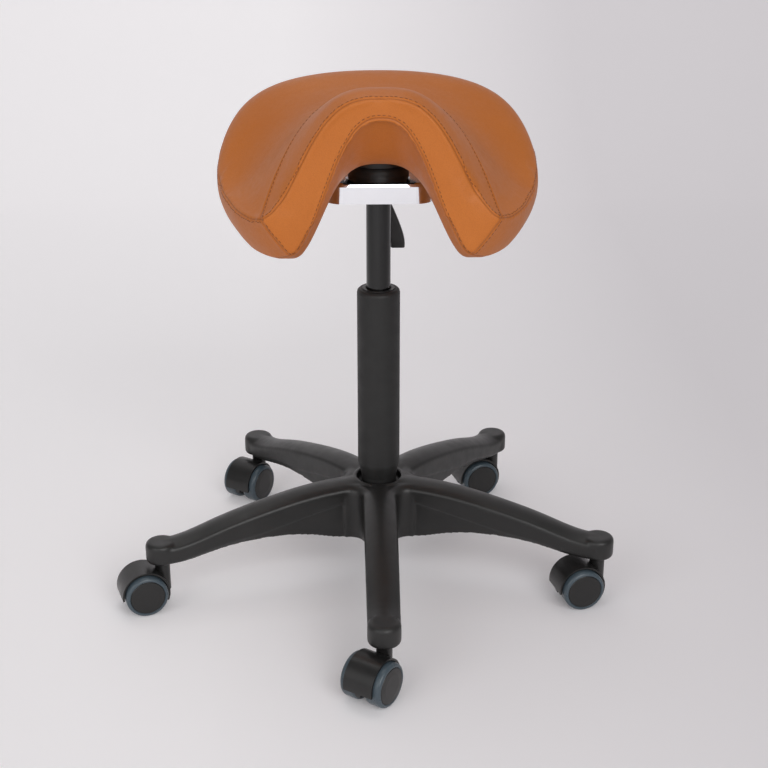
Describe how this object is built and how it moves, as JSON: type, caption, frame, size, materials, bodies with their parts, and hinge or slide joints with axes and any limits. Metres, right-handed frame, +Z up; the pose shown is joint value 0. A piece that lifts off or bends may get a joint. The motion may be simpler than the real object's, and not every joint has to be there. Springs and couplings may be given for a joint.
{
  "type": "saddle stool",
  "caption": "Padded saddle stool: leather saddle seat on a rocking chrome mount, gas-lift column with release lever, star base on twin-wheel castors.",
  "frame": {"origin": "on the floor under the axis of the column", "axes": "+Z up along the column, the narrow arched front of the seat towards -Y"},
  "size_m": [0.5872, 0.5647, 0.6195],
  "materials": {
    "tan_leather": "satin",
    "foam": "matte",
    "moulded_ply": "matte",
    "steel": "satin",
    "black_steel": "satin",
    "black_tube": "satin",
    "black_rubber": "matte",
    "chrome": "polished",
    "black_plastic": "satin",
    "soft_tread": "satin"
  },
  "bodies": {
    "base": {"star_base": "black_plastic", "column_tube": "black_tube", "guide_bush": "black_plastic", "column_end_cap": "steel", "bearing_lower_race": "steel"},
    "rod": {"piston_rod": "steel", "piston": "steel", "bearing_upper_race": "steel", "bearing_balls": "steel", "retaining_clip": "steel"},
    "lift": {"pressure_tube": "black_tube", "rod_gland": "black_plastic", "taper_socket": "black_steel", "mount_tray": "chrome", "mount_floor_plate": "chrome", "rocker_yoke": "steel", "rubber_buffer": "black_rubber", "lever_bracket": "steel", "lever_pin": "steel"},
    "lever": {"lever_bar": "black_steel", "lever_grip": "black_plastic"},
    "button": {"release_button": "steel"},
    "cross": {"rocker_cross": "steel"},
    "seat": {"seat_cover": "tan_leather", "seat_foam": "foam", "seat_shell": "moulded_ply", "tee_nuts": "steel", "seat_bolts": "steel", "rocker_plate": "black_steel", "rocker_cup": "black_rubber"},
    "castor_1": {"castor_hood_1": "black_plastic", "castor_pins_1": "steel"},
    "left_wheel_1": {"left_wheel_1": "black_plastic", "left_tread_1": "soft_tread"},
    "right_wheel_1": {"right_wheel_1": "black_plastic", "right_tread_1": "soft_tread"},
    "castor_2": {"castor_hood_2": "black_plastic", "castor_pins_2": "steel"},
    "left_wheel_2": {"left_wheel_2": "black_plastic", "left_tread_2": "soft_tread"},
    "right_wheel_2": {"right_wheel_2": "black_plastic", "right_tread_2": "soft_tread"},
    "castor_3": {"castor_hood_3": "black_plastic", "castor_pins_3": "steel"},
    "left_wheel_3": {"left_wheel_3": "black_plastic", "left_tread_3": "soft_tread"},
    "right_wheel_3": {"right_wheel_3": "black_plastic", "right_tread_3": "soft_tread"},
    "castor_4": {"castor_hood_4": "black_plastic", "castor_pins_4": "steel"},
    "left_wheel_4": {"left_wheel_4": "black_plastic", "left_tread_4": "soft_tread"},
    "right_wheel_4": {"right_wheel_4": "black_plastic", "right_tread_4": "soft_tread"},
    "castor_5": {"castor_hood_5": "black_plastic", "castor_pins_5": "steel"},
    "left_wheel_5": {"left_wheel_5": "black_plastic", "left_tread_5": "soft_tread"},
    "right_wheel_5": {"right_wheel_5": "black_plastic", "right_tread_5": "soft_tread"}
  },
  "joints": [
    {"name": "seat_swivel", "type": "hinge", "parent": "base", "child": "rod", "pos_m": [0, 0, 0.055], "axis": [0, 0, 1], "continuous": true},
    {"name": "seat_height", "type": "slide", "parent": "rod", "child": "lift", "axis": [0, 0, 1], "range_m": [-0.065, 0.13]},
    {"name": "lever_pull", "type": "hinge", "parent": "lift", "child": "lever", "pos_m": [0, 0.016, 0.49205], "axis": [1, 0, 0], "range_deg": [0, 11], "stiffness_Nm_per_rad": 2.5, "springref_deg": -5.73},
    {"name": "button_press", "type": "slide", "parent": "lift", "child": "button", "axis": [0, 0, 1], "range_m": [-0.0031, 0]},
    {"name": "rock_fore_aft", "type": "hinge", "parent": "lift", "child": "cross", "pos_m": [0, 0, 0.512], "axis": [1, 0, 0], "range_deg": [-4, 4], "stiffness_Nm_per_rad": 400},
    {"name": "rock_side", "type": "hinge", "parent": "cross", "child": "seat", "pos_m": [0, 0, 0.512], "axis": [0, 1, 0], "range_deg": [-4, 4], "stiffness_Nm_per_rad": 400},
    {"name": "castor_swivel_1", "type": "hinge", "parent": "base", "child": "castor_1", "pos_m": [0, -0.27, 0.065], "axis": [0, 0, 1], "continuous": true},
    {"name": "left_roll_1", "type": "hinge", "parent": "castor_1", "child": "left_wheel_1", "pos_m": [-0.01377, -0.28966, 0.025], "axis": [-0.8192, 0.5736, 0], "continuous": true},
    {"name": "right_roll_1", "type": "hinge", "parent": "castor_1", "child": "right_wheel_1", "pos_m": [-0.01377, -0.28966, 0.025], "axis": [-0.8192, 0.5736, 0], "continuous": true},
    {"name": "castor_swivel_2", "type": "hinge", "parent": "base", "child": "castor_2", "pos_m": [0.25678, -0.08343, 0.065], "axis": [0, 0, 1], "continuous": true},
    {"name": "left_roll_2", "type": "hinge", "parent": "castor_2", "child": "left_wheel_2", "pos_m": [0.2335, -0.08924, 0.025], "axis": [-0.2419, 0.9703, 0], "continuous": true},
    {"name": "right_roll_2", "type": "hinge", "parent": "castor_2", "child": "right_wheel_2", "pos_m": [0.2335, -0.08924, 0.025], "axis": [-0.2419, 0.9703, 0], "continuous": true},
    {"name": "castor_swivel_3", "type": "hinge", "parent": "base", "child": "castor_3", "pos_m": [0.1587, 0.21843, 0.065], "axis": [0, 0, 1], "continuous": true},
    {"name": "left_roll_3", "type": "hinge", "parent": "castor_3", "child": "left_wheel_3", "pos_m": [0.13601, 0.21062, 0.025], "axis": [-0.3256, 0.9455, 0], "continuous": true},
    {"name": "right_roll_3", "type": "hinge", "parent": "castor_3", "child": "right_wheel_3", "pos_m": [0.13601, 0.21062, 0.025], "axis": [-0.3256, 0.9455, 0], "continuous": true},
    {"name": "castor_swivel_4", "type": "hinge", "parent": "base", "child": "castor_4", "pos_m": [-0.1587, 0.21843, 0.065], "axis": [0, 0, 1], "continuous": true},
    {"name": "left_roll_4", "type": "hinge", "parent": "castor_4", "child": "left_wheel_4", "pos_m": [-0.17177, 0.19831, 0.025], "axis": [-0.8387, 0.5446, 0], "continuous": true},
    {"name": "right_roll_4", "type": "hinge", "parent": "castor_4", "child": "right_wheel_4", "pos_m": [-0.17177, 0.19831, 0.025], "axis": [-0.8387, 0.5446, 0], "continuous": true},
    {"name": "castor_swivel_5", "type": "hinge", "parent": "base", "child": "castor_5", "pos_m": [-0.25678, -0.08343, 0.065], "axis": [0, 0, 1], "continuous": true},
    {"name": "left_roll_5", "type": "hinge", "parent": "castor_5", "child": "left_wheel_5", "pos_m": [-0.27948, -0.09125, 0.025], "axis": [-0.3256, 0.9455, 0], "continuous": true},
    {"name": "right_roll_5", "type": "hinge", "parent": "castor_5", "child": "right_wheel_5", "pos_m": [-0.27948, -0.09125, 0.025], "axis": [-0.3256, 0.9455, 0], "continuous": true}
  ],
  "couplings": [
    {"joint": "button_press", "follows": "lever_pull", "m_per_rad": -0.0159}
  ]
}
